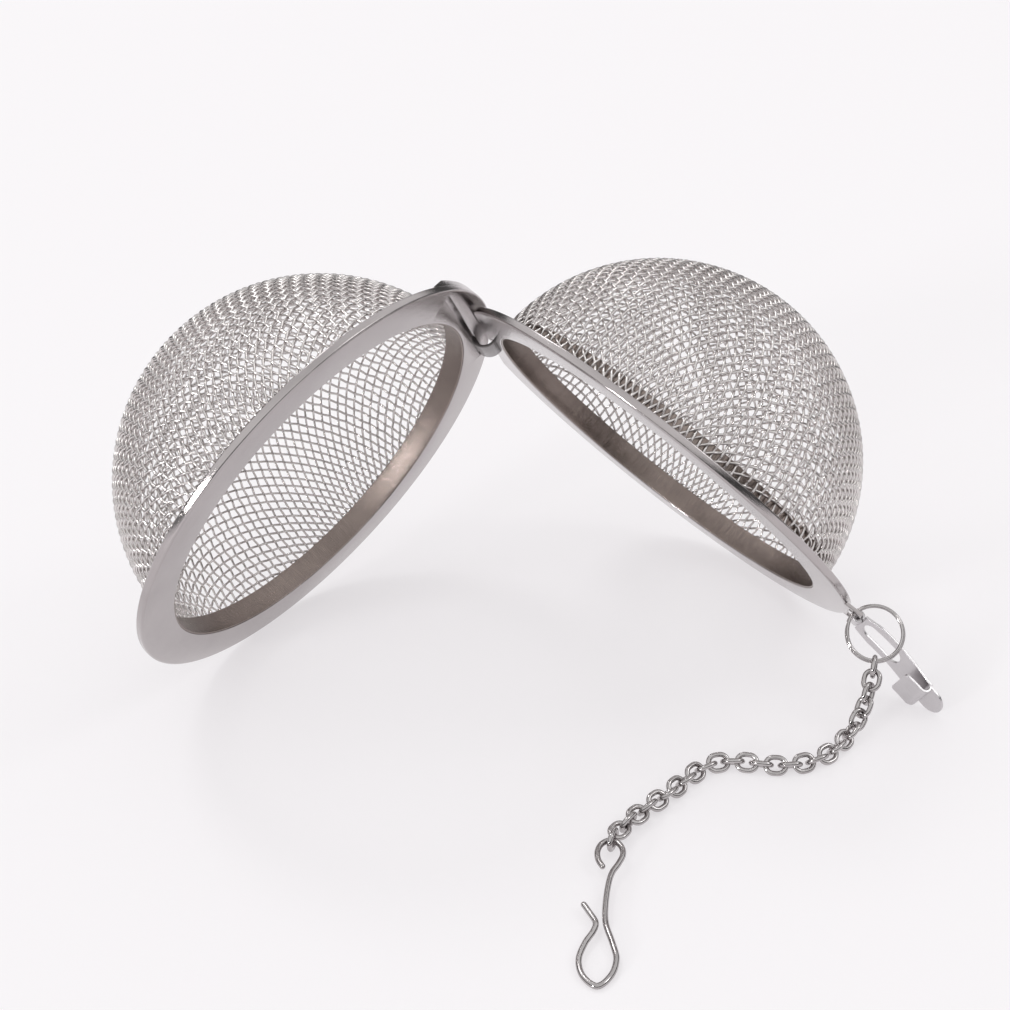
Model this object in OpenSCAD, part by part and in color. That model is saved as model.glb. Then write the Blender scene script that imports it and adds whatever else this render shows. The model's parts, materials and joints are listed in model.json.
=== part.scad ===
// Hinged mesh-ball tea infuser, lying open on its two rims and its clasp.
// Origin: on the table, straight below the middle of the hinge. X right, Y away, Z up.

/* [Halves] */
// Outer diameter of each rim
rim_d = 63; // [60:0.5:66]
// Thickness of the rim sheet
sheet_t = 0.5; // [0.4:0.05:0.6]
// Depth of the turned-down lip at a rim's edge
lip_h = 1.1; // [0.8:0.1:1.5]
// Inner diameter of the band inside each mouth
mouth_d = 52; // [50:0.5:52]
// Wall of the band
band_t = 0.22; // [0.2:0.01:0.25]
// Depth of the band behind the rim's front face
band_h = 3.3; // [2.5:0.1:4]
// Height from peak to trough of the woven mesh
mesh_t = 0.55; // [0.4:0.05:0.6]

/* [Hinge] */
// Distance from the hinge axis to the centre of each half
axis_reach = 29.1; // [29:0.1:29.3]
// Distance from the hinge axis to each rim's front face
face_gap = 0.1; // [0.1:0.01:0.15]
// Angle between the two opened halves
open_angle = 92.8; // [90:0.1:93]
// How far the open lid has slid along the hinge
lid_slide = 10; // [9:0.1:10]
// Mean radius of the hinge clip
clip_r = 1.7; // [1.68:0.01:1.72]
// Thickness of the hinge clip's strip
clip_t = 0.44; // [0.4:0.01:0.46]
// Width of the hinge clip
clip_w = 5; // [4:0.1:5]
// Half the length of the lid's long slot
slot_half = 12.7; // [12.7:0.1:12.9]
// Depth of the cover behind the lid's long slot
cover_h = 2.09; // [2.08:0.01:2.2]

/* [Clasp] */
// Length of the clasp from its pivot to its thumb tab
clasp_l = 15.4; // [14:0.1:16]
// Width of the clasp's arm
clasp_w = 4.6; // [4:0.1:4.8]
// Thickness of the clasp's strip
clasp_t = 0.36; // [0.3:0.01:0.38]
// Angle by which the resting clasp leans forward of the rim
clasp_lean = 11; // [9:0.5:13]
// Twist of the loosely held arm about its own length
clasp_twist = 28; // [20:1:30]

/* [Ring and chain] */
// Outer diameter of the split ring
ring_d = 7.8; // [7.6:0.1:8]
// Wire diameter of the split ring
ring_wire = 0.42; // [0.36:0.01:0.44]
// Number of chain links
link_n = 28; // [20:1:28]
// Outer length of a link
link_l = 3.1; // [3:0.05:3.2]
// Outer width of a link
link_w = 2.65; // [2.5:0.05:2.7]
// Wire diameter of a link
link_wire = 0.64; // [0.55:0.01:0.65]

/* [Hook] */
// Wire diameter of the hook
hook_wire = 0.7; // [0.6:0.01:0.75]

/* [Stance] */
// Roll of the hinge axis
stance_roll = 8; // [6:0.5:8]
// Tip of the hinge axis away from upright
stance_tip = 49.5; // [48:0.5:50]
// Turn of the whole infuser on the table
stance_turn = -90.1; // [-180:0.1:180]
// Height of the hinge axis above the table
hinge_h = 44.44; // [44.4:0.01:50]

/* [Hidden] */
$fn = 96;
eps = 0.01;
stance = [stance_roll, stance_tip, stance_turn];
half_angle = open_angle / 2;
rim_r = rim_d / 2;
band_r = mouth_d / 2 + band_t;
front_z = -face_gap;
back_z = front_z - sheet_t;
mesh_drop = band_h - sheet_t;
mesh_in_r = sqrt(pow(band_r, 2) + pow(mesh_drop, 2)) + eps;
band_step = 0.15;
slot_play = 0.1;
clip_play = 0.15;
slot_in = sqrt(pow(clip_r - clip_t / 2, 2) - pow(face_gap + sheet_t, 2)) - slot_play;
slot_out = clip_r + clip_t / 2 + slot_play;
cut_x = 0.4;
cover_t = 0.12;
cover_x = 2;
cover_wall = 0.25;
cover_r = rim_r - 0.05;
cover_low = slot_half + 0.3;
cover_high = slot_half + 3.5;
clip_start = -65;
clip_sweep = 200;
lug_reach = 1.7;
pivot_x = axis_reach + rim_r + lug_reach;
pivot_z = front_z - sheet_t / 2;
bar_half = 0.3;
curl_in = 0.44;
curl_out = curl_in + clasp_t;
lug_wall = 0.8;
lug_root = sheet_t + lug_wall;
lug_side = clasp_w / 2 + 1;
clasp_play = 0.2;
ring_slot_w = 1.2;
ring_y = lug_side + ring_slot_w / 2;
lug_far = ring_y + ring_slot_w / 2 + lug_wall;
bar_slot_x = axis_reach + rim_r + 0.25;
curl_start = 10;
curl_sweep = 340;
arm_root_x = curl_in + 0.1;
arm_full_x = 3;
arm_root_half = clasp_w / 2 - 0.6;
tab_half = clasp_w / 2 - 0.35;
window_near = 2.5;
window_near_r = 1.2;
window_far = 6.2;
window_far_r = 1.3;
fold_end = 12.2;
fold_x = fold_end - 0.4;
fold_r = 0.75;
fold_lip = 2.6;
ring_r = ring_d / 2 - ring_wire / 2;
link_play = 0.07;
ring_reach = ring_r - ring_wire / 2 - curl_in - link_play;
ring_lean = 14;
ring_side = ring_wire * 0.45;
link_pitch = link_l - 2 * link_wire - link_play;
slant = 45;
drift_n = 6;

// Route of the chain's centre line, from the ring down to the table and along it.
chain_route = [
    [47, -31.7, 7.7], [46.4, -33.2, 6.2], [45.6, -34.6, 4.6], [44.7, -35.8, 3.1], [43.7, -36.9, 1.9],
    [42.5, -38.1, 1.2], [41.3, -39.4, 1.08], [39.8, -40.9, 1.08], [38, -42, 1.08], [35.4, -42.8, 1.08],
    [32.8, -42.7, 1.08], [30.3, -42, 1.08], [27.9, -41.3, 1.08], [25.5, -41.3, 1.08], [23.4, -42.3, 1.08],
    [21.3, -44.2, 1.12], [18.9, -46.5, 1.2], [16.4, -48.6, 1.28], [14, -50.8, 1.34], [12, -53.1, 1.38],
    [10.8, -55.8, 1.4], [9.9, -58.6, 1.4]
];

// Centre line of the hook on the table: once round its eye, down the shaft and round to its turned-out tip.
hook_z = 1.4;
hook_dip = 2.95;
hook_line = [
    [-0.75, -2.9], [-1.25, -1.6], [-1.25, -0.3], [-0.75, 0.8], [0.15, 1.35], [1.05, 1.05], [1.6, 0.1],
    [1.6, -1.1], [0.95, -2.4], [0.1, -3.7], [-0.5, -5.5], [-1.1, -8.5], [-1.3, -11.1], [-0.85, -13.9],
    [-0.65, -16.1], [-1.4, -18.2], [-3, -19.5], [-4.4, -18], [-4.65, -15.8], [-3.85, -13.7], [-2.75, -12],
    [-2.4, -10.8], [-2.9, -9.4], [-3.6, -7.8]
];

function two(i) = str(i < 10 ? "0" : "", i);
LINKS = [for (i = [1:link_n]) str("chain_link_", two(i))];

// Places children drawn in the hinge frame: Z along the hinge, X down between the two halves.
module stand() {
    translate([0, 0, hinge_h]) rotate(stance) children();
}

// The base half's frame: X from the hinge to the far edge, Z out of the mouth.
module base_frame() {
    stand() rotate([0, 0, half_angle]) rotate([90, 0, 0]) children();
}

// The lid half's frame, the same way round.
module lid_frame() {
    stand() rotate([0, 0, -half_angle]) rotate([-90, 0, 0]) children();
}

// Moves from the hinge axis to the centre of a half.
module half_centre() {
    translate([axis_reach, 0, 0]) children();
}

// A rim: flat ring with a rounded, turned-down outer lip.
module rim_ring() {
    rotate_extrude() {
        translate([band_r, back_z]) square([rim_r - sheet_t - band_r, sheet_t]);
        translate([rim_r - sheet_t, front_z - lip_h]) square([sheet_t, lip_h - sheet_t]);
        intersection() {
            translate([rim_r - sheet_t, back_z]) circle(r = sheet_t);
            translate([rim_r - sheet_t, back_z]) square(sheet_t);
        }
    }
}

// A band that lines the mouth and clamps the mesh's edge.
module band_ring() {
    rotate_extrude()
        translate([mouth_d / 2, front_z - band_h]) square([band_t, band_h - band_step]);
}

// A bowl of mesh, as a plain shell with the mesh's true outer shape.
module mesh_bowl() {
    rotate_extrude() intersection() {
        translate([0, back_z]) difference() {
            circle(r = mesh_in_r + mesh_t);
            circle(r = mesh_in_r);
        }
        translate([0, back_z - 2 * rim_r]) square(2 * rim_r);
    }
}

// The slot that the hinge clip passes through.
module clip_slot(half_l) {
    translate([slot_in, -half_l, back_z - sheet_t]) cube([slot_out - slot_in, 2 * half_l, 3 * sheet_t]);
}

// The block under the hinge side of the lid's rim, with sloping ends, drawn in by a wall.
module cover_block(side, bottom) {
    low_z = front_z - cover_h + bottom;
    lip_z = front_z - lip_h + bottom;
    low_y = cover_low - side;
    high_y = cover_high - side;
    outline = [
        [-high_y, back_z],
        [-high_y, lip_z],
        [-low_y, low_z],
        [low_y, low_z],
        [high_y, lip_z],
        [high_y, back_z]
    ];
    intersection() {
        half_centre() translate([0, 0, low_z]) cylinder(r = cover_r - side, h = back_z - low_z);
        translate([-rim_r, 0, 0]) rotate([90, 0, 90])
            linear_extrude(height = rim_r + cover_x) polygon(outline);
    }
}

// A shallow pan that covers the hinge side of the lid's rim from behind.
module hinge_cover() {
    difference() {
        cover_block(0, 0);
        cover_block(cover_wall, cover_t);
    }
}

module lid_rim() {
    color("silver") lid_frame() {
        difference() {
            half_centre() rim_ring();
            clip_slot(slot_half);
        }
        hinge_cover();
    }
}

module lid_band() {
    color("rosybrown") lid_frame() half_centre() band_ring();
}

module lid_mesh() {
    color("darkgray") lid_frame() half_centre() mesh_bowl();
}

// The ear at the base rim's far edge, whose outer bar holds the clasp and, beside it, the ring.
module clasp_lug() {
    lug_in = axis_reach + rim_r - lug_root;
    lug_out = pivot_x + bar_half;
    translate([lug_in, -lug_side, back_z]) cube([lug_out - lug_in, lug_side + lug_far, sheet_t]);
}

// A slot through the ear, inside its outer bar.
module lug_slot(y, w) {
    translate([bar_slot_x, y - w / 2, back_z - sheet_t])
        cube([pivot_x - bar_half - bar_slot_x, w, 3 * sheet_t]);
}

module base_rim() {
    color("gainsboro") base_frame() translate([0, -lid_slide, 0]) difference() {
        union() {
            half_centre() rim_ring();
            clasp_lug();
        }
        clip_slot(clip_w / 2 + clip_play);
        translate([-2 * rim_r + cut_x, -rim_r, -rim_r]) cube(2 * rim_r);
        lug_slot(0, clasp_w + 2 * clasp_play);
        lug_slot(ring_y, ring_slot_w);
    }
}

module base_band() {
    color("rosybrown") base_frame() translate([0, -lid_slide, 0]) half_centre() band_ring();
}

module base_mesh() {
    color("darkgray") base_frame() translate([0, -lid_slide, 0]) half_centre() mesh_bowl();
}

// A strip bent round an axis along Y, from one angle through a sweep.
module bent_strip(r_in, r_out, w, from, sweep) {
    rotate([90, 0, 0]) rotate([0, 0, from]) rotate_extrude(angle = sweep)
        translate([r_in, -w / 2]) square([r_out - r_in, w]);
}

module hinge_clip() {
    color("dimgray") base_frame() translate([0, -lid_slide, 0])
        bent_strip(clip_r - clip_t / 2, clip_r + clip_t / 2, clip_w, clip_start, clip_sweep);
}

// The frame at the clasp's pivot, with X along the resting clasp.
module clasp_frame() {
    base_frame() translate([pivot_x, -lid_slide, pivot_z]) rotate([0, -clasp_lean, 0]) children();
}

// Outline of the clasp's arm and thumb tab, seen from its face.
module clasp_outline() {
    difference() {
        union() {
            polygon([
                [arm_root_x, -arm_root_half], [arm_root_x, arm_root_half], [arm_full_x, clasp_w / 2],
                [fold_end, clasp_w / 2], [fold_end, -clasp_w / 2], [arm_full_x, -clasp_w / 2]
            ]);
            translate([fold_x, -tab_half]) square([clasp_l - fold_x - tab_half, 2 * tab_half]);
            translate([clasp_l - tab_half, 0]) circle(r = tab_half);
        }
        hull() {
            translate([window_near, 0]) circle(r = window_near_r, $fn = 32);
            translate([window_far, 0]) circle(r = window_far_r, $fn = 32);
        }
    }
}

module clasp() {
    color("lightgray") clasp_frame() {
        bent_strip(curl_in, curl_out, clasp_w, curl_start, curl_sweep);
        rotate([-clasp_twist, 0, 0]) {
            translate([0, 0, -clasp_t / 2]) linear_extrude(clasp_t) clasp_outline();
            translate([fold_x, 0, fold_r])
                bent_strip(fold_r - clasp_t / 2, fold_r + clasp_t / 2, clasp_w, -90, 180);
            translate([fold_x - fold_lip, -clasp_w / 2, 2 * fold_r - clasp_t / 2])
                cube([fold_lip + eps, clasp_w, clasp_t]);
        }
    }
}

// The frame at the ring's middle: its axis is along Y.
module ring_frame() {
    base_frame() translate([pivot_x, ring_y - lid_slide, pivot_z]) rotate([0, -ring_lean, 0])
        translate([ring_reach, 0, 0]) children();
}

module split_ring() {
    color("silver") ring_frame() for (side = [-1, 1])
        translate([0, side * ring_side, 0]) rotate([90, 0, 0]) rotate_extrude()
            translate([ring_r, 0]) circle(d = ring_wire, $fn = 32);
}

// Length along the route up to point i, and the point and direction at a length s.
function leg(i) = norm(chain_route[i + 1] - chain_route[i]);
function run_to(i) = i <= 0 ? 0 : run_to(i - 1) + leg(i - 1);
function leg_at(s, i = 0) = i >= len(chain_route) - 2 || run_to(i + 1) > s ? i : leg_at(s, i + 1);
function route_point(s) = let (i = leg_at(s)) chain_route[i]
    + (chain_route[i + 1] - chain_route[i]) * (s - run_to(i)) / leg(i);
function route_way(s) = route_point(s + link_pitch / 2) - route_point(s - link_pitch / 2);

// Turns X to point along a direction.
module point_along(way) {
    rotate([0, -atan2(way[2], norm([way[0], way[1]])), atan2(way[1], way[0])]) children();
}

// One oval chain link lying in the XY plane, long way along X.
module chain_link() {
    bend_r = (link_w - link_wire) / 2;
    straight = link_l - link_w;
    for (turn = [0, 180]) rotate([0, 0, turn]) {
        translate([straight / 2, 0, 0]) rotate([0, 0, -90]) rotate_extrude(angle = 180)
            translate([bend_r, 0]) circle(d = link_wire, $fn = 32);
        translate([-straight / 2, bend_r, 0]) rotate([0, 90, 0])
            cylinder(d = link_wire, h = straight, $fn = 32);
    }
}

// Neighbours cross each other. They turn from square at the ring to slanting, and on to square at the hook.
function link_roll(i) = 90 * i + (min(i - 1, drift_n) + max(0, i + drift_n - link_n)) * slant / drift_n;

module chain_piece(i) {
    s = (i - 0.5) * link_pitch;
    color("silver") translate(route_point(s)) point_along(route_way(s))
        rotate([link_roll(i), 0, 0]) chain_link();
}

// A smooth curve through hand-chosen points, and a round wire swept along it.
function spline(p, n) = [for (i = [0:len(p) - 2], k = [0:n - 1]) let (
    t = k / n,
    a = p[max(i - 1, 0)],
    b = p[i],
    c = p[i + 1],
    d = p[min(i + 2, len(p) - 1)]
) 0.5 * (2 * b + (c - a) * t + (2 * a - 5 * b + 4 * c - d) * t * t + (3 * b - a - 3 * c + d) * t * t * t)];
function way_at(p, i) = let (w = p[min(i + 1, len(p) - 1)] - p[max(i - 1, 0)]) w / norm(w);
module flat_wire(p, r, sides = 12) {
    rows = len(p);
    points = [for (i = [0:rows - 1], k = [0:sides - 1]) let (w = way_at(p, i), a = 360 * k / sides)
        [p[i][0] - w[1] * r * cos(a), p[i][1] + w[0] * r * cos(a), r * sin(a)]];
    skin = [for (i = [0:rows - 2], k = [0:sides - 1]) let (n = (k + 1) % sides)
        [i * sides + k, i * sides + n, (i + 1) * sides + n, (i + 1) * sides + k]];
    ends = [[for (k = [sides - 1:-1:0]) k], [for (k = [0:sides - 1]) (rows - 1) * sides + k]];
    polyhedron(points, concat(skin, ends));
}

module hook() {
    at = route_point((link_n + 0.5) * link_pitch);
    color("silver") translate([at[0], at[1], hook_z]) rotate([hook_dip, 0, 0])
        flat_wire(spline(hook_line, 4), hook_wire / 2);
}

lid_rim();
lid_band();
lid_mesh();
base_rim();
base_band();
base_mesh();
hinge_clip();
clasp();
split_ring();
for (i = [1:link_n]) chain_piece(i);
hook();
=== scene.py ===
import json
import math

import bmesh
import bpy
import numpy as np
from mathutils import Matrix, Vector


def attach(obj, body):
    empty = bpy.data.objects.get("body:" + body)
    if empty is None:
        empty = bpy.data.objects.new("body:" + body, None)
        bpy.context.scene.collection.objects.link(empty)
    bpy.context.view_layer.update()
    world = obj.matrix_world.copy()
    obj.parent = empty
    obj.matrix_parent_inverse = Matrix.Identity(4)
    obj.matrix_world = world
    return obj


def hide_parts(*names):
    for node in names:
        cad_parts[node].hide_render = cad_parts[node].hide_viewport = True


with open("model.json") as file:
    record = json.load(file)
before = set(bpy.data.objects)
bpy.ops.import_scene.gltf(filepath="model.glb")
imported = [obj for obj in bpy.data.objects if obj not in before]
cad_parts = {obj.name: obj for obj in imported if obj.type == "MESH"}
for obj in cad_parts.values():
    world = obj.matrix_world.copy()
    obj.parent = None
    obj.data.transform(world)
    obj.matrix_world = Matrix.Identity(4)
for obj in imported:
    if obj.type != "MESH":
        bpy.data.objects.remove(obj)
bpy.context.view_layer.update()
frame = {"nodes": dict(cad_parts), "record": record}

RECORD = frame["record"]
JOINTS = {j["name"]: j for j in RECORD["behaviour"]["joints"]}
MM = 0.001

# Driving sizes in millimetres, as the CAD part has them.
STANCE_DEG = (8.0, 49.5, -90.1)
RIM_R = 31.5
SHEET_T = 0.5
LIP_H = 1.1
RIM_EDGE = 0.05
MOUTH_R = 26.0
BAND_T = 0.22
BAND_H = 3.3
AXIS_REACH = 29.1
FACE_GAP = 0.1
CLIP_R = 1.7
CLIP_T = 0.44
CLIP_W = 5.0
CLIP_START = -65
CLIP_SWEEP = 200
CLIP_EDGE = 0.12
CLIP_PLAY = 0.15
SLOT_PLAY = 0.1
SLOT_HALF = 12.7
CUT_X = 0.4
CLASP_L = 15.4
CLASP_W = 4.6
CLASP_T = 0.36
CLASP_LEAN = 11.0
CLASP_TWIST = 28.0
CLASP_PLAY = 0.2
CURL_IN = 0.44
CURL_START = 10
CURL_SWEEP = 335
FOLD_X = 11.8
FOLD_R = 0.75
FOLD_LIP = 2.6
LUG_REACH = 1.7
LUG_WALL = 0.8
BAR_HALF = 0.3
RING_R = 3.69
RING_WIRE = 0.42
RING_LEAN = 14.0
LINK_L = 3.1
LINK_W = 2.65
LINK_WIRE = 0.64
LINK_GAP = 0.07
HOOK_WIRE = 0.7
HOOK_Z = 1.4
HOOK_DIP = 2.95
LINK_SLANT = 45.0
LINK_DRIFT = 6
COVER_X = 2.0
COVER_R = RIM_R - 0.05
COVER_T = 0.12
COVER_H = 2.09
COVER_WALL = 0.25
COVER_LOW = 0.3
COVER_HIGH = 3.5
MESH_WIRE_R = 0.165
MESH_CELLS = 33
MESH_TURN = 45

OPEN_ANGLE = JOINTS["lid_swing"]["range_deg"][1]
SLIDE = JOINTS["lid_shift"]["range_m"][1] / MM
HALF_ANGLE = math.radians(OPEN_ANGLE / 2)
FRONT_Z = -FACE_GAP
BACK_Z = FRONT_Z - SHEET_T
BAND_R = MOUTH_R + BAND_T
MESH_IN_R = math.hypot(BAND_R, BAND_H - SHEET_T) + 0.01
MESH_R = MESH_IN_R + 2 * MESH_WIRE_R - 0.06
SLOT_IN = math.sqrt((CLIP_R - CLIP_T / 2) ** 2 - (FACE_GAP + SHEET_T) ** 2) - SLOT_PLAY
SLOT_OUT = CLIP_R + CLIP_T / 2 + SLOT_PLAY
PIVOT_X = AXIS_REACH + RIM_R + LUG_REACH
PIVOT_Z = FRONT_Z - SHEET_T / 2
LUG_SIDE = CLASP_W / 2 + 1
RING_SLOT_W = 1.2
RING_Y = LUG_SIDE + RING_SLOT_W / 2
LUG_FAR = RING_Y + RING_SLOT_W / 2 + LUG_WALL
BAR_SLOT_X = AXIS_REACH + RIM_R + 0.25
RING_REACH = RING_R - RING_WIRE / 2 - CURL_IN - 0.07
LINK_PITCH = LINK_L - 2 * LINK_WIRE - LINK_GAP
LINK_N = sum(name.startswith("chain_link_") for name in frame["nodes"])

# The chain's centre line, chosen and listed as in the CAD part.
CHAIN_ROUTE = [
    (47, -31.7, 7.7), (46.4, -33.2, 6.2), (45.6, -34.6, 4.6), (44.7, -35.8, 3.1), (43.7, -36.9, 1.9),
    (42.5, -38.1, 1.2), (41.3, -39.4, 1.08), (39.8, -40.9, 1.08), (38, -42, 1.08), (35.4, -42.8, 1.08),
    (32.8, -42.7, 1.08), (30.3, -42, 1.08), (27.9, -41.3, 1.08), (25.5, -41.3, 1.08), (23.4, -42.3, 1.08),
    (21.3, -44.2, 1.12), (18.9, -46.5, 1.2), (16.4, -48.6, 1.28), (14, -50.8, 1.34), (12, -53.1, 1.38),
    (10.8, -55.8, 1.4), (9.9, -58.6, 1.4),
]
# The hook's wire from its eye to its free end, seen from above, on the same terms.
HOOK_LINE = [
    (-0.75, -2.9), (-1.25, -1.6), (-1.25, -0.3), (-0.75, 0.8), (0.15, 1.35), (1.05, 1.05),
    (1.6, 0.1), (1.6, -1.1), (0.95, -2.4), (0.1, -3.7), (-0.5, -5.5), (-1.1, -8.5),
    (-1.3, -11.1), (-0.85, -13.9), (-0.65, -16.1), (-1.4, -18.2), (-3, -19.5), (-4.4, -18),
    (-4.65, -15.8), (-3.85, -13.7), (-2.75, -12), (-2.4, -10.8), (-2.9, -9.4), (-3.6, -7.8),
]


# ---------------------------------------------------------------- frames

def turn(axis, degrees):
    return Matrix.Rotation(math.radians(degrees), 4, axis)


def shift(x, y, z):
    return Matrix.Translation((x, y, z))


HINGE = Vector(JOINTS["lid_swing"]["pos_m"]) / MM
STAND = (
    Matrix.Translation(HINGE)
    @ turn("Z", STANCE_DEG[2]) @ turn("Y", STANCE_DEG[1]) @ turn("X", STANCE_DEG[0])
)
BASE = STAND @ Matrix.Rotation(HALF_ANGLE, 4, "Z") @ turn("X", 90) @ shift(0, -SLIDE, 0)
LID = STAND @ Matrix.Rotation(-HALF_ANGLE, 4, "Z") @ turn("X", -90)
CLASP = BASE @ shift(PIVOT_X, 0, PIVOT_Z) @ turn("Y", -CLASP_LEAN)
ARM = CLASP @ turn("X", -CLASP_TWIST)
RING = BASE @ shift(PIVOT_X, RING_Y, PIVOT_Z) @ turn("Y", -RING_LEAN) @ shift(RING_REACH, 0, 0)


# ---------------------------------------------------------------- camera

def make_camera():
    data = bpy.data.cameras.new("camera")
    data.sensor_width = 36
    data.lens = 57.03
    data.clip_start = 0.01
    cam = bpy.data.objects.new("camera", data)
    cam.location = Vector((2.0, -194.5, 127.7)) * MM
    cam.rotation_euler = [math.radians(a) for a in (60.04, 3.73, -2.19)]
    bpy.context.collection.objects.link(cam)
    bpy.context.scene.camera = cam


# ---------------------------------------------------------------- mesh helpers

def new_object(name, vertices, faces, place=None, grain=None, smooth=True):
    """A mesh object from points in millimetres; place carries them into the frame."""
    points = np.asarray(vertices, float)
    if place is not None:
        m = np.array(place)
        points = points @ m[:3, :3].T + m[:3, 3]
    mesh = bpy.data.meshes.new(name)
    mesh.from_pydata((points * MM).tolist(), [], [tuple(f) for f in faces])
    if grain is not None:
        layer = mesh.uv_layers.new(name="grain")
        corners = np.empty(len(mesh.loops), int)
        mesh.loops.foreach_get("vertex_index", corners)
        layer.data.foreach_set("uv", np.asarray(grain, float)[corners].ravel())
    mesh.polygons.foreach_set("use_smooth", [smooth] * len(mesh.polygons))
    mesh.update()
    obj = bpy.data.objects.new(name, mesh)
    bpy.context.collection.objects.link(obj)
    return obj


def outward(obj):
    """Makes every face point out."""
    bm = bmesh.new()
    bm.from_mesh(obj.data)
    bmesh.ops.recalc_face_normals(bm, faces=bm.faces)
    bm.to_mesh(obj.data)
    bm.free()


def spline(points, n):
    """A smooth curve through the points, n steps between each pair."""
    p = np.asarray(points, float)
    out = []
    for i in range(len(p) - 1):
        a, b, c, d = p[max(i - 1, 0)], p[i], p[i + 1], p[min(i + 2, len(p) - 1)]
        for k in range(n):
            t = k / n
            out.append(0.5 * (2 * b + (c - a) * t + (2 * a - 5 * b + 4 * c - d) * t**2
                              + (3 * b - a - 3 * c + d) * t**3))
    out.append(p[-1])
    return np.array(out)


def tube_arrays(path, radius, sides, closed=False, side_hint=None):
    """Points and faces of a round wire along a path; side_hint fixes the first side direction."""
    path = np.asarray(path, float)
    n = len(path)
    ahead = np.roll(path, -1, 0) - path
    behind = path - np.roll(path, 1, 0)
    if not closed:
        ahead[-1] = behind[-1]
        behind[0] = ahead[0]
    way = ahead + behind
    way /= np.linalg.norm(way, axis=1)[:, None]
    if side_hint is None:
        side_hint = np.tile((0.0, 0.0, 1.0), (n, 1))
    up = side_hint - (side_hint * way).sum(1)[:, None] * way
    up /= np.linalg.norm(up, axis=1)[:, None]
    across = np.cross(way, up)
    a = 2 * np.pi * np.arange(sides) / sides
    ring = np.cos(a)[None, :, None] * up[:, None] + np.sin(a)[None, :, None] * across[:, None]
    radius = np.broadcast_to(np.asarray(radius, float), (n,))
    points = (path[:, None] + ring * radius[:, None, None]).reshape(-1, 3)
    rows = n if closed else n - 1
    i, k = np.meshgrid(np.arange(rows), np.arange(sides), indexing="ij")
    j, l = (i + 1) % n, (k + 1) % sides
    faces = np.stack([i * sides + k, i * sides + l, j * sides + l, j * sides + k], -1)
    faces = faces.reshape(-1, 4).tolist()
    if not closed:
        faces.append(list(range(sides - 1, -1, -1)))
        faces.append(list(range((n - 1) * sides, n * sides)))
    length = np.concatenate([[0], np.cumsum(np.linalg.norm(np.diff(path, axis=0), axis=1))])
    grain = np.stack([np.repeat(length, sides), np.tile(a * float(radius.max()), n)], 1)
    return points, faces, grain


def rounded_tips(path, radius):
    """A radius along the path that rounds off both ends."""
    r = np.full(len(path), float(radius))
    d = np.concatenate([[0], np.cumsum(np.linalg.norm(np.diff(path, axis=0), axis=1))])
    least = 0.03 * radius**2
    for run in (d, d[-1] - d):
        near = run < radius
        round_r = np.sqrt(np.maximum(radius**2 - (radius - run[near]) ** 2, least))
        r[near] = np.minimum(r[near], round_r)
    return r


def lathe(name, outline, centre_x, place, steps=360):
    """A closed outline of (radius, height) points turned about a half's own axis."""
    outline = np.asarray(outline, float)
    m = len(outline)
    a = 2 * np.pi * np.arange(steps) / steps
    points = np.stack([
        centre_x + np.cos(a)[:, None] * outline[None, :, 0],
        np.sin(a)[:, None] * outline[None, :, 0],
        np.broadcast_to(outline[None, :, 1], (steps, m)),
    ], -1).reshape(-1, 3)
    i, k = np.meshgrid(np.arange(steps), np.arange(m), indexing="ij")
    j, l = (i + 1) % steps, (k + 1) % m
    faces = np.stack([i * m + k, j * m + k, j * m + l, i * m + l], -1).reshape(-1, 4)
    obj = new_object(name, points, faces, place)
    outward(obj)
    return obj


def rounded(corners, radii, steps=5):
    """A closed outline with each corner rounded by its own radius."""
    out = []
    n = len(corners)
    for i, (p, r) in enumerate(zip(corners, radii)):
        p = np.array(p, float)
        a = np.array(corners[i - 1], float) - p
        b = np.array(corners[(i + 1) % n], float) - p
        a /= np.linalg.norm(a)
        b /= np.linalg.norm(b)
        half = math.acos(max(-1, min(1, float(a @ b)))) / 2
        reach = r / math.tan(half)
        mid = (a + b) / np.linalg.norm(a + b)
        centre = p + mid * r / math.sin(half)
        s, e = p + a * reach - centre, p + b * reach - centre
        for k in range(steps + 1):
            t = k / steps
            v = s * (1 - t) + e * t
            out.append(centre + v / np.linalg.norm(v) * r)
    return np.array(out)


def box_object(name, low, high, place):
    """A plain cutter or block between two corners."""
    c = [(x, y, z) for x in (low[0], high[0]) for y in (low[1], high[1]) for z in (low[2], high[2])]
    f = [(0, 1, 3, 2), (4, 6, 7, 5), (0, 4, 5, 1), (2, 3, 7, 6), (0, 2, 6, 4), (1, 5, 7, 3)]
    obj = new_object(name, c, f, place, smooth=False)
    outward(obj)
    return obj


def apply_modifiers(obj):
    deps = bpy.context.evaluated_depsgraph_get()
    mesh = bpy.data.meshes.new_from_object(obj.evaluated_get(deps))
    old = obj.data
    obj.modifiers.clear()
    obj.data = mesh
    bpy.data.meshes.remove(old)


def combine(obj, other, how):
    """Cuts other from obj, or joins it on, and drops other."""
    mod = obj.modifiers.new("combine", "BOOLEAN")
    mod.operation = how
    mod.solver = "EXACT"
    mod.object = other
    apply_modifiers(obj)
    bpy.data.objects.remove(other)


def soften(obj, width, segments=2):
    """Rounds the sharp edges that cutting left, and shades smooth between them."""
    mod = obj.modifiers.new("bevel", "BEVEL")
    mod.width = width * MM
    mod.segments = segments
    mod.limit_method = "ANGLE"
    mod.angle_limit = math.radians(40)
    apply_modifiers(obj)
    smooth_by_angle(obj)


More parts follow.
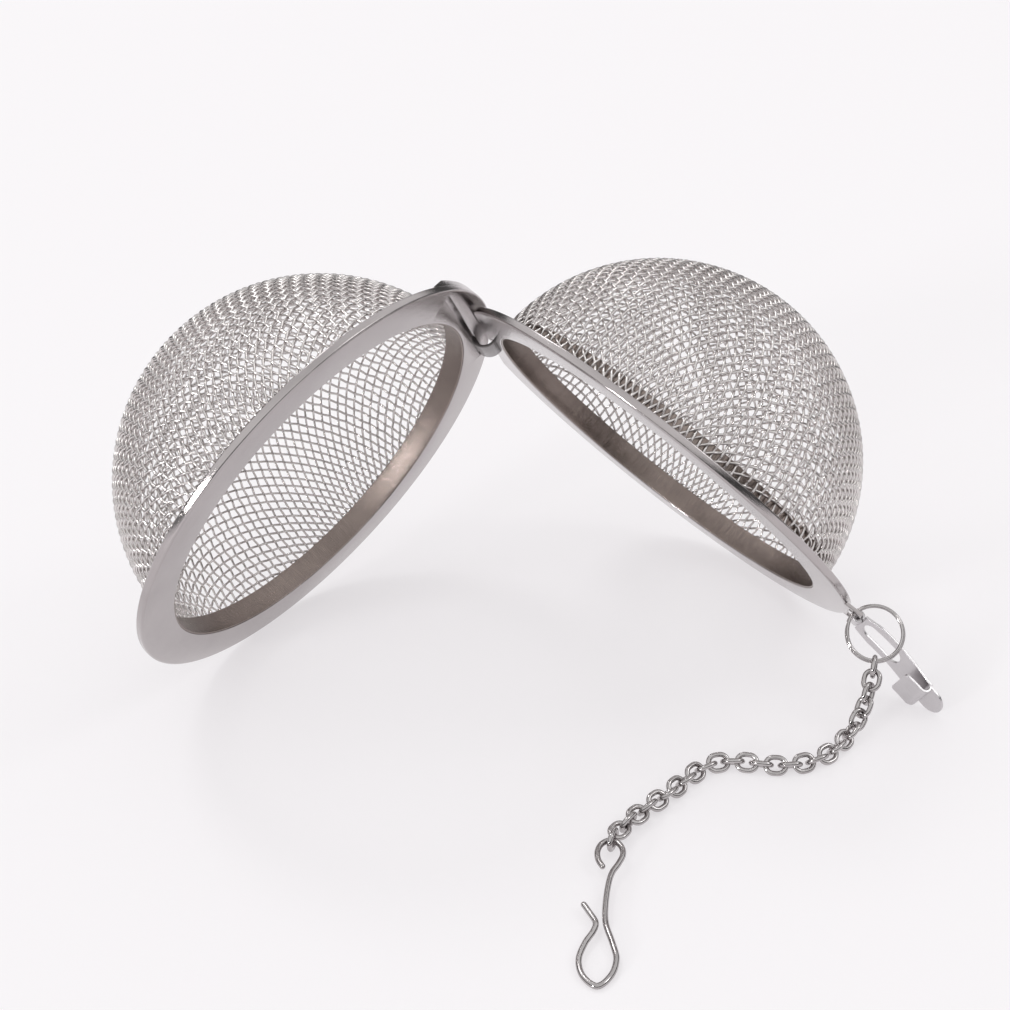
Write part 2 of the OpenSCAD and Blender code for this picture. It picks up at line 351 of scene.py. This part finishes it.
def smooth_by_angle(obj, degrees=35):
    bm = bmesh.new()
    bm.from_mesh(obj.data)
    limit = math.radians(degrees)
    for face in bm.faces:
        face.smooth = True
    for edge in bm.edges:
        edge.smooth = not (edge.is_manifold and edge.calc_face_angle(0) > limit)
    bm.to_mesh(obj.data)
    bm.free()


def polar_grain(obj, place, centre_x):
    """Stores the run round a half's axis and the distance from it, in millimetres, as the grain map."""
    back = np.array(place.inverted())
    points = np.empty(len(obj.data.vertices) * 3)
    obj.data.vertices.foreach_get("co", points)
    points = points.reshape(-1, 3) / MM @ back[:3, :3].T + back[:3, 3]
    x, y = points[:, 0] - centre_x, points[:, 1]
    r = np.hypot(x, y)
    layer = obj.data.uv_layers.get("grain") or obj.data.uv_layers.new(name="grain")
    corners = np.empty(len(obj.data.loops), int)
    obj.data.loops.foreach_get("vertex_index", corners)
    angle = np.arctan2(y, x)[corners].reshape(-1)
    starts = np.empty(len(obj.data.polygons), int)
    totals = np.empty(len(obj.data.polygons), int)
    obj.data.polygons.foreach_get("loop_start", starts)
    obj.data.polygons.foreach_get("loop_total", totals)
    first = np.repeat(angle[starts], totals)
    angle = first + (angle - first + np.pi) % (2 * np.pi) - np.pi
    across = (r - points[:, 2])[corners]
    layer.data.foreach_set("uv", np.stack([angle * RIM_R, across], 1).ravel())


# ---------------------------------------------------------------- materials

def node(tree, kind, **inputs):
    made = tree.nodes.new(kind)
    for key, value in inputs.items():
        if key in made.inputs:
            made.inputs[key].default_value = value
        else:
            setattr(made, key, value)
    return made


def metal(name, colour, dark, rough, spread, grain_scale, bump):
    """Stainless steel: grain_scale stretches fine lines along or across the grain map."""
    mat = bpy.data.materials.new(name)
    mat.use_nodes = True
    tree = mat.node_tree
    shader = tree.nodes["Principled BSDF"]
    shader.inputs["Metallic"].default_value = 1.0
    link = tree.links.new
    source = node(tree, "ShaderNodeUVMap", uv_map="grain").outputs["UV"]
    place = node(tree, "ShaderNodeMapping")
    place.inputs["Scale"].default_value = grain_scale
    link(source, place.inputs["Vector"])
    lines = node(tree, "ShaderNodeTexNoise", Scale=1.0, Detail=5.0, Roughness=0.65)
    link(place.outputs["Vector"], lines.inputs["Vector"])
    where = node(tree, "ShaderNodeTexCoord")
    cloud = node(tree, "ShaderNodeTexNoise", Scale=90.0, Detail=4.0, Roughness=0.55)
    link(where.outputs["Object"], cloud.inputs["Vector"])
    mix = node(tree, "ShaderNodeMath", operation="ADD")
    link(lines.outputs["Fac"], mix.inputs[0])
    link(cloud.outputs["Fac"], mix.inputs[1])
    to_rough = node(tree, "ShaderNodeMapRange")
    to_rough.inputs["From Min"].default_value = 0.6
    to_rough.inputs["From Max"].default_value = 1.4
    to_rough.inputs["To Min"].default_value = rough - spread
    to_rough.inputs["To Max"].default_value = rough + spread
    link(mix.outputs[0], to_rough.inputs["Value"])
    link(to_rough.outputs["Result"], shader.inputs["Roughness"])
    tint = node(tree, "ShaderNodeValToRGB")
    tint.color_ramp.elements[0].position = 0.3
    tint.color_ramp.elements[0].color = (*dark, 1)
    tint.color_ramp.elements[1].position = 0.7
    tint.color_ramp.elements[1].color = (*colour, 1)
    half = node(tree, "ShaderNodeMath", operation="MULTIPLY")
    half.inputs[1].default_value = 0.5
    link(mix.outputs[0], half.inputs[0])
    link(half.outputs[0], tint.inputs["Fac"])
    link(tint.outputs["Color"], shader.inputs["Base Color"])
    raise_it = node(tree, "ShaderNodeBump", Strength=bump, Distance=0.00005)
    link(lines.outputs["Fac"], raise_it.inputs["Height"])
    link(raise_it.outputs["Normal"], shader.inputs["Normal"])
    return mat


def wear(obj, mat, slot, body, *nodes):
    """Gives a piece its material and body, and hides the CAD nodes it stands for; slot is not used."""
    obj.data.materials.clear()
    obj.data.materials.append(mat)
    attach(obj, body)
    if nodes:
        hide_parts(*nodes)
    return obj


# ---------------------------------------------------------------- bowls

def rim_outline():
    """The rim's section: a flat sheet with a rounded shoulder and a lip turned towards the bowl."""
    out, inner, low = RIM_R, BAND_R, FRONT_Z - LIP_H
    lip_in = out - SHEET_T
    corners = [
        (inner, FRONT_Z), (out, FRONT_Z), (out, low), (lip_in, low), (lip_in, BACK_Z), (inner, BACK_Z),
    ]
    return rounded(corners, [0.12, 0.3, 0.2, 0.2, 0.15, 0.12])


def make_rim(name, place, is_base):
    """A rim with its hinge slot; the base's has an ear and a straight edge, the lid's a cover."""
    rim = lathe(name, rim_outline(), AXIS_REACH, place)
    half_slot = CLIP_W / 2 + CLIP_PLAY if is_base else SLOT_HALF
    if is_base:
        lug_in = AXIS_REACH + RIM_R - SHEET_T - LUG_WALL
        lug = box_object("lug", (lug_in, -LUG_SIDE, BACK_Z + 0.02),
                         (PIVOT_X + BAR_HALF, LUG_FAR, FRONT_Z - 0.02), place)
        combine(rim, lug, "UNION")
        for y, w in ((0, CLASP_W + 2 * CLASP_PLAY), (RING_Y, RING_SLOT_W)):
            hole = box_object("hole", (BAR_SLOT_X, y - w / 2, -3),
                              (PIVOT_X - BAR_HALF, y + w / 2, 2), place)
            combine(rim, hole, "DIFFERENCE")
        edge = box_object("edge", (-RIM_R, -RIM_R, -9), (CUT_X, RIM_R, 9), place)
        combine(rim, edge, "DIFFERENCE")
    slot = box_object("slot", (SLOT_IN, -half_slot, -1), (SLOT_OUT, half_slot, 1), place)
    combine(rim, slot, "DIFFERENCE")
    soften(rim, RIM_EDGE)
    if not is_base:
        rim = join(name, [rim, hinge_cover(place)])
    polar_grain(rim, place, AXIS_REACH)
    return rim


def cover_block(side, bottom, past, place):
    """The room under the hinge side of the lid's rim; past carries it beyond its open sides."""
    low, lip, top = FRONT_Z - COVER_H + bottom, FRONT_Z - LIP_H + bottom, BACK_Z - 0.05 + past
    low_y, high_y = SLOT_HALF + COVER_LOW - side, SLOT_HALF + COVER_HIGH - side
    disc_r = COVER_R - side
    section = [(MOUTH_R / 2, low), (disc_r, low), (disc_r, top), (MOUTH_R / 2, top)]
    disc = lathe("disc", section, AXIS_REACH, place)
    outline = [
        (-high_y, top), (-high_y, lip), (-low_y, low), (low_y, low), (high_y, lip), (high_y, top),
    ]
    n = len(outline)
    ends = (-RIM_R, COVER_X + past)
    points = [(x, y, z) for x in ends for y, z in outline]
    faces = [tuple(range(n)), tuple(reversed(range(n, 2 * n)))]
    faces += [(k, n + k, n + (k + 1) % n, (k + 1) % n) for k in range(n)]
    prism = new_object("prism", points, faces, place, smooth=False)
    outward(prism)
    combine(disc, prism, "INTERSECT")
    return disc


def hinge_cover(place):
    """A shallow pan behind the hinge side of the lid's rim, so that the long slot looks dark."""
    pan = cover_block(0, 0, 0, place)
    combine(pan, cover_block(COVER_WALL, COVER_T, 1, place), "DIFFERENCE")
    soften(pan, RIM_EDGE)
    return pan


def make_band(name, place):
    """The thin strip that lines the mouth."""
    low, high = FRONT_Z - BAND_H, FRONT_Z - 0.15
    corners = [(MOUTH_R, high), (BAND_R, high), (BAND_R, low), (MOUTH_R, low)]
    band = lathe(name, rounded(corners, [0.1, 0.04, 0.09, 0.09], 4), AXIS_REACH, place)
    polar_grain(band, place, AXIS_REACH)
    return band


def net_quarter(cells, step):
    """Crossings of an even net laid over a ball, from its pole out: each cell keeps its side."""
    grid = np.zeros((cells, cells, 3))
    for i in range(cells):
        grid[i, 0] = (math.sin(i * step), 0, math.cos(i * step))
        grid[0, i] = (0, math.sin(i * step), math.cos(i * step))
    for i in range(1, cells):
        for j in range(1, cells):
            flat = np.cross(grid[i, j - 1], grid[i - 1, j])
            flat /= np.linalg.norm(flat)
            back = grid[i - 1, j - 1]
            grid[i, j] = back - 2 * (back @ flat) * flat
    return grid


def wire_runs():
    """For each wire of one direction: its index, its crossings, and their places on the unit ball."""
    reach = MESH_CELLS + 3
    step = math.pi / 2 / MESH_CELLS
    quarter = net_quarter(reach + 1, step)
    runs = []
    for i in range(-reach, reach + 1):
        line = np.array([
            quarter[abs(i), abs(j)] * (math.copysign(1, i), math.copysign(1, j), 1)
            for j in range(-reach, reach + 1)
        ])
        inside = line[:, 2] > -0.02
        middle = reach
        if not inside[middle]:
            continue
        first, last = middle, middle
        while first > 0 and inside[first - 1]:
            first -= 1
        while last < 2 * reach and inside[last + 1]:
            last += 1
        first, last = max(first - 1, 0), min(last + 1, 2 * reach)
        if last - first >= 3:
            runs.append((i, np.arange(first, last + 1) - reach, line[first:last + 1]))
    return runs


def make_cloth(name, place, across, turn_deg):
    """All wires of one direction of the woven bowl, crimped over and under the others."""
    fine = 4
    crimp = MESH_WIRE_R * 0.95
    points, faces, grain = [], [], []
    count = 0
    lay = np.array(turn("Z", turn_deg))[:3, :3]
    for i, js, line in wire_runs():
        dense = spline(line, fine)
        steps = js[0] + np.arange(len(dense)) / fine
        dense /= np.linalg.norm(dense, axis=1)[:, None]
        keep = dense[:, 2] > -0.004
        dense, steps = dense[keep], steps[keep]
        if len(dense) < 4:
            continue
        sign = (1 if i % 2 == 0 else -1) * (-1 if across else 1)
        level = MESH_R + sign * crimp * np.cos(np.pi * steps)
        unit = dense[:, [1, 0, 2]] if across else dense
        unit = unit @ lay.T
        path = unit * level[:, None] * (1, 1, -1)
        path[:, 2] = np.minimum(path[:, 2], -0.02)
        hint = unit * (1, 1, -1)
        p, f, g = tube_arrays(path + (AXIS_REACH, 0, BACK_Z), MESH_WIRE_R, 6, side_hint=hint)
        points.append(p)
        faces.extend([[v + count for v in q] for q in f])
        grain.append(g + (0, 7.0 * i))
        count += len(p)
    obj = new_object(name, np.concatenate(points), faces, place, np.concatenate(grain))
    outward(obj)
    return obj


# ---------------------------------------------------------------- small metal parts

def bent_strip(name, r_mid, thick, width, start, sweep, place, edge=0.08, steps=72):
    """A strip with rounded edges bent round the Y axis, angles from X towards Z."""
    section = rounded([(-thick / 2, -width / 2), (thick / 2, -width / 2), (thick / 2, width / 2),
                       (-thick / 2, width / 2)], [edge] * 4, 3)
    m = len(section)
    points = []
    for k in range(steps + 1):
        a = math.radians(start + sweep * k / steps)
        for dr, y in section:
            r = r_mid + dr
            points.append((r * math.cos(a), y, r * math.sin(a)))
    faces = [(k * m + s, k * m + (s + 1) % m, (k + 1) * m + (s + 1) % m, (k + 1) * m + s)
             for k in range(steps) for s in range(m)]
    faces += [tuple(range(m - 1, -1, -1)), tuple(range(steps * m, (steps + 1) * m))]
    run = r_mid * math.radians(sweep)
    grain = [(k * run / steps, section[s][1]) for k in range(steps + 1) for s in range(m)]
    obj = new_object(name, points, faces, place, grain)
    outward(obj)
    smooth_by_angle(obj, 50)
    return obj


def plate(name, outline, holes, thick, bend, place, slices=40, edge=0.06):
    """A sheet cut to an outline with holes, sliced across and bent by bend(u, v) -> height."""
    curve = bpy.data.curves.new(name, "CURVE")
    curve.dimensions = "2D"
    curve.fill_mode = "BOTH"
    curve.extrude = thick / 2 - edge
    curve.bevel_depth = edge
    curve.bevel_resolution = 2
    curve.offset = -edge
    for ring in [outline, *holes]:
        line = curve.splines.new("POLY")
        line.points.add(len(ring) - 1)
        for point, (x, y) in zip(line.points, ring):
            point.co = (x, y, 0, 1)
        line.use_cyclic_u = True
    flat = bpy.data.objects.new(name, curve)
    bpy.context.collection.objects.link(flat)
    deps = bpy.context.evaluated_depsgraph_get()
    mesh = bpy.data.meshes.new_from_object(flat.evaluated_get(deps))
    bpy.data.objects.remove(flat)
    bm = bmesh.new()
    bm.from_mesh(mesh)
    bmesh.ops.remove_doubles(bm, verts=bm.verts, dist=0.0005)
    xs = [v.co.x for v in bm.verts]
    for k in range(1, slices):
        x = min(xs) + (max(xs) - min(xs)) * k / slices
        geometry = bm.verts[:] + bm.edges[:] + bm.faces[:]
        bmesh.ops.bisect_plane(bm, geom=geometry, plane_co=(x, 0, 0), plane_no=(1, 0, 0), dist=1e-5)
    layer = bm.loops.layers.uv.new("grain")
    for face in bm.faces:
        for loop in face.loops:
            loop[layer].uv = (loop.vert.co.x, loop.vert.co.y)
    for v in bm.verts:
        v.co.z += bend(v.co.x, v.co.y)
    bmesh.ops.recalc_face_normals(bm, faces=bm.faces)
    bm.transform(Matrix.Scale(MM, 4) @ place)
    bm.to_mesh(mesh)
    bm.free()
    obj = bpy.data.objects.new(name, mesh)
    bpy.context.collection.objects.link(obj)
    smooth_by_angle(obj, 40)
    return obj


def arc(cx, cy, r, start, end, n=16):
    return [(cx + r * math.cos(math.radians(start + (end - start) * k / n)),
             cy + r * math.sin(math.radians(start + (end - start) * k / n))) for k in range(n + 1)]


def join(name, parts):
    """Joins objects into the first, as one piece."""
    with bpy.context.temp_override(active_object=parts[0], selected_editable_objects=parts):
        bpy.ops.object.join()
    parts[0].name = name
    return parts[0]


def make_clasp():
    """A curl round the ear's bar, a windowed arm, a folded lip and a thumb tab, as one piece."""
    root, wide, tab = CLASP_W / 2 - 0.6, CLASP_W / 2, CLASP_W / 2 - 0.35
    root_x, full_x, step_x, chamfer = CURL_IN + 0.15, 3, FOLD_X + 0.6, 0.2
    near_x = FOLD_X + 0.45
    outline = [(root_x, -root), (full_x, -wide), (near_x, -wide), (step_x, -wide + chamfer)]
    outline += [(step_x, -tab)] + arc(CLASP_L - tab, 0, tab, -90, 90, 24) + [(step_x, tab)]
    outline += [(step_x, wide - chamfer), (near_x, wide), (full_x, wide), (root_x, root)]
    window = arc(2.5, 0, 1.2, 90, 270, 12) + arc(6.2, 0, 1.3, -90, 90, 12)
    bow = 0.45

    def bend(u, v):
        t = min(max((u - 1) / (FOLD_X - 1), 0), 1)
        crown = 0.1 * (1 - (v / wide) ** 2)
        return -bow * math.sin(math.pi * t) + (crown if u > 8 else crown * max(u - 1, 0) / 7)

    arm = plate("arm", outline, [window], CLASP_T, bend, ARM)
    curl = bent_strip("curl", CURL_IN + CLASP_T / 2, CLASP_T, CLASP_W, CURL_START, CURL_SWEEP, CLASP)
    fold_place = ARM @ shift(FOLD_X, 0, FOLD_R)
    fold = bent_strip("fold", FOLD_R, CLASP_T, CLASP_W - 0.1, -80, 170, fold_place, steps=24)
    free_x, bent_x = FOLD_X - FOLD_LIP, FOLD_X + 0.05
    lip_corners = [
        (free_x, -wide + 0.1), (bent_x, -wide + 0.05), (bent_x, wide - 0.05), (free_x, wide - 0.1),
    ]
    lip_line = rounded(lip_corners, [0.5, 0.02, 0.02, 0.5], 6)
    lip = plate("lip", lip_line.tolist(), [], CLASP_T, lambda u, v: 0.02 * (FOLD_X - u) ** 2,
                ARM @ shift(0, 0, 2 * FOLD_R), slices=8)
    return join("clasp_strip", [arm, curl, fold, lip])


def make_ring():
    """Two turns of wire lying side by side, with one end sprung slightly out."""
    turns, n = 2.06, 220
    r = RING_R - RING_WIRE / 2
    start = math.radians(150)
    path = []
    for k in range(n + 1):
        t = k / n
        a = start + turns * 2 * math.pi * t
        out = 0.12 * math.cos(math.pi * t) + 0.3 * max(0, (t - 0.93) / 0.07) ** 2
        side = (t - 0.5) * RING_WIRE * 1.9
        path.append(((r + out) * math.cos(a), side, (r + out) * math.sin(a)))
    hint = np.tile((0.0, 1.0, 0.0), (n + 1, 1))
    p, f, g = tube_arrays(path, rounded_tips(path, RING_WIRE / 2), 14, side_hint=hint)
    obj = new_object("double_ring", p, f, RING, g)
    outward(obj)
    return obj


def route_lengths():
    """The chain's centre line and the run along it at each point."""
    route = np.array(CHAIN_ROUTE, float)
    return route, np.concatenate([[0], np.cumsum(np.linalg.norm(np.diff(route, axis=0), axis=1))])


def route_point(s):
    """The point of the centre line after a run of s millimetres."""
    route, run = route_lengths()
    i = int(np.clip(np.searchsorted(run, s, side="right") - 1, 0, len(route) - 2))
    return route[i] + (route[i + 1] - route[i]) * (s - run[i]) / (run[i + 1] - run[i])


def make_link(i):
    """One oval link, its two ends round and its sides a little drawn in."""
    n = 56
    bend_r, half_run = (LINK_W - LINK_WIRE) / 2, (LINK_L - LINK_W) / 2
    path = []
    for k in range(n):
        a = 2 * math.pi * k / n
        x, y = bend_r * math.cos(a), bend_r * math.sin(a)
        x += math.copysign(half_run, x) * min(1, abs(x) / 0.2)
        path.append((x, y * (1 - 0.03 * math.sin(a) ** 2), 0))
    s = (i - 0.5) * LINK_PITCH
    way = route_point(s + LINK_PITCH / 2) - route_point(s - LINK_PITCH / 2)
    roll = 90 * i + (min(i - 1, LINK_DRIFT) + max(0, i + LINK_DRIFT - LINK_N)) * LINK_SLANT / LINK_DRIFT
    place = (
        shift(*route_point(s))
        @ Matrix.Rotation(math.atan2(way[1], way[0]), 4, "Z")
        @ Matrix.Rotation(-math.atan2(way[2], math.hypot(way[0], way[1])), 4, "Y")
        @ turn("X", roll)
    )
    p, f, g = tube_arrays(path, LINK_WIRE / 2, 16, closed=True)
    obj = new_object(f"link_{i:02d}", p, f, place, g)
    outward(obj)
    return obj


def make_hook():
    """One bent wire with an eye at the chain's end."""
    path = spline(HOOK_LINE, 10)
    path = np.column_stack([path, np.zeros(len(path))])
    at = route_point((LINK_N + 0.5) * LINK_PITCH)
    place = shift(at[0], at[1], HOOK_Z) @ turn("X", HOOK_DIP)
    p, f, g = tube_arrays(path, rounded_tips(path, HOOK_WIRE / 2), 18)
    obj = new_object("wire_hook", p, f, place, g)
    outward(obj)
    return obj


# ---------------------------------------------------------------- studio

def make_floor():
    """A plain pale floor that glows a little, so that shadows stay faint."""
    mat = bpy.data.materials.new("floor")
    mat.use_nodes = True
    tree = mat.node_tree
    shader = tree.nodes["Principled BSDF"]
    shader.inputs["Roughness"].default_value = 0.6
    shader.inputs["Specular IOR Level"].default_value = 0.2
    shader.inputs["Base Color"].default_value = (0.35, 0.345, 0.35, 1)
    shader.inputs["Emission Color"].default_value = (1, 0.97, 0.99, 1)
    shader.inputs["Emission Strength"].default_value = 0.58
    size = 3.0
    mesh = bpy.data.meshes.new("floor")
    corners = [(-size, -size, 0), (size, -size, 0), (size, size, 0), (-size, size, 0)]
    mesh.from_pydata(corners, [], [(0, 1, 2, 3)])
    floor = bpy.data.objects.new("floor", mesh)
    bpy.context.collection.objects.link(floor)
    mesh.materials.append(mat)


def sun(name, aim_from, strength, angle):
    """A far soft light, shining from a direction, as wide as angle in degrees."""
    data = bpy.data.lights.new(name, "SUN")
    data.energy = strength
    data.angle = math.radians(angle)
    lamp = bpy.data.objects.new(name, data)
    lamp.rotation_euler = Vector(aim_from).to_track_quat("Z", "Y").to_euler()
    bpy.context.collection.objects.link(lamp)


def make_world():
    """A light tent: white above, with a dim gap near the horizon that gives metal its dark edges."""
    world = bpy.data.worlds.new("studio")
    bpy.context.scene.world = world
    world.use_nodes = True
    tree = world.node_tree
    link = tree.links.new
    back = tree.nodes["Background"]
    where = tree.nodes.new("ShaderNodeTexCoord")
    split = tree.nodes.new("ShaderNodeSeparateXYZ")
    link(where.outputs["Generated"], split.inputs["Vector"])
    ramp = tree.nodes.new("ShaderNodeValToRGB")
    stops = [(0.0, 0.2), (0.12, 0.03), (0.34, 0.03), (0.42, 0.95), (0.75, 1.05), (1.0, 0.85)]
    marks = ramp.color_ramp.elements
    slots = [marks[0], marks[1]] + [marks.new(0.5) for k in range(len(stops) - 2)]
    for mark, (at, grey) in zip(slots, stops):
        mark.position = at
        mark.color = (grey, grey, grey, 1)
    link(split.outputs["Z"], ramp.inputs["Fac"])
    link(ramp.outputs["Color"], back.inputs["Color"])
    back.inputs["Strength"].default_value = 0.95


make_camera()

STEEL = metal("polished_steel", (0.52, 0.485, 0.485), (0.4, 0.37, 0.37), 0.12, 0.05, (0.35, 26, 1), 0.25)
BRUSHED = metal("brushed_band", (0.42, 0.355, 0.325), (0.19, 0.155, 0.14), 0.2, 0.08, (7, 0.3, 1), 1.0)
WOVEN = metal("woven_wire", (0.84, 0.805, 0.795), (0.56, 0.53, 0.52), 0.2, 0.07, (3, 3, 1), 0.15)
STRIP = metal("hinge_strip", (0.3, 0.285, 0.285), (0.2, 0.19, 0.19), 0.24, 0.06, (1, 14, 1), 0.3)
SATIN = metal("satin_strip", (0.7, 0.68, 0.69), (0.56, 0.54, 0.55), 0.32, 0.06, (0.5, 12, 1), 0.35)
CHROME = metal("bright_wire", (0.6, 0.575, 0.575), (0.34, 0.32, 0.32), 0.08, 0.04, (0.8, 6, 1), 0.2)

wear(make_rim("rim_of_lid", LID, False), STEEL, "rim", "lid", "lid_rim")
wear(make_rim("rim_of_base", BASE, True), STEEL, "rim", "base", "base_rim")
wear(make_band("band_of_lid", LID), BRUSHED, "band", "lid", "lid_band")
wear(make_band("band_of_base", BASE), BRUSHED, "band", "base", "base_band")
for half, place in (("lid", LID), ("base", BASE)):
    wear(make_cloth(f"{half}_cloth_warp", place, False, MESH_TURN), WOVEN, "mesh", half, f"{half}_mesh")
    wear(make_cloth(f"{half}_cloth_weft", place, True, MESH_TURN), WOVEN, "mesh", half)
clip = bent_strip("hinge_strip", CLIP_R, CLIP_T, CLIP_W, CLIP_START, CLIP_SWEEP, BASE, CLIP_EDGE)
wear(clip, STRIP, "clip", "hinge_clip", "hinge_clip")
wear(make_clasp(), SATIN, "clasp", "clasp", "clasp")
wear(make_ring(), CHROME, "wire", "ring", "split_ring")
BODY_OF = {n: body for body, names in RECORD["behaviour"]["bodies"].items() for n in names}
for number in range(1, LINK_N + 1):
    cad_name = f"chain_link_{number:02d}"
    wear(make_link(number), CHROME, "wire", BODY_OF[cad_name], cad_name)
wear(make_hook(), CHROME, "wire", "hook", "hook")

make_floor()
make_world()
sun("key", (-0.35, 0.55, 0.9), 0.4, 16)
sun("fill", (0.75, -0.1, 0.7), 0.2, 16)
sun("side", (-0.74, -0.62, 0.26), 0.9, 9)
bpy.context.scene.view_settings.view_transform = "Standard"
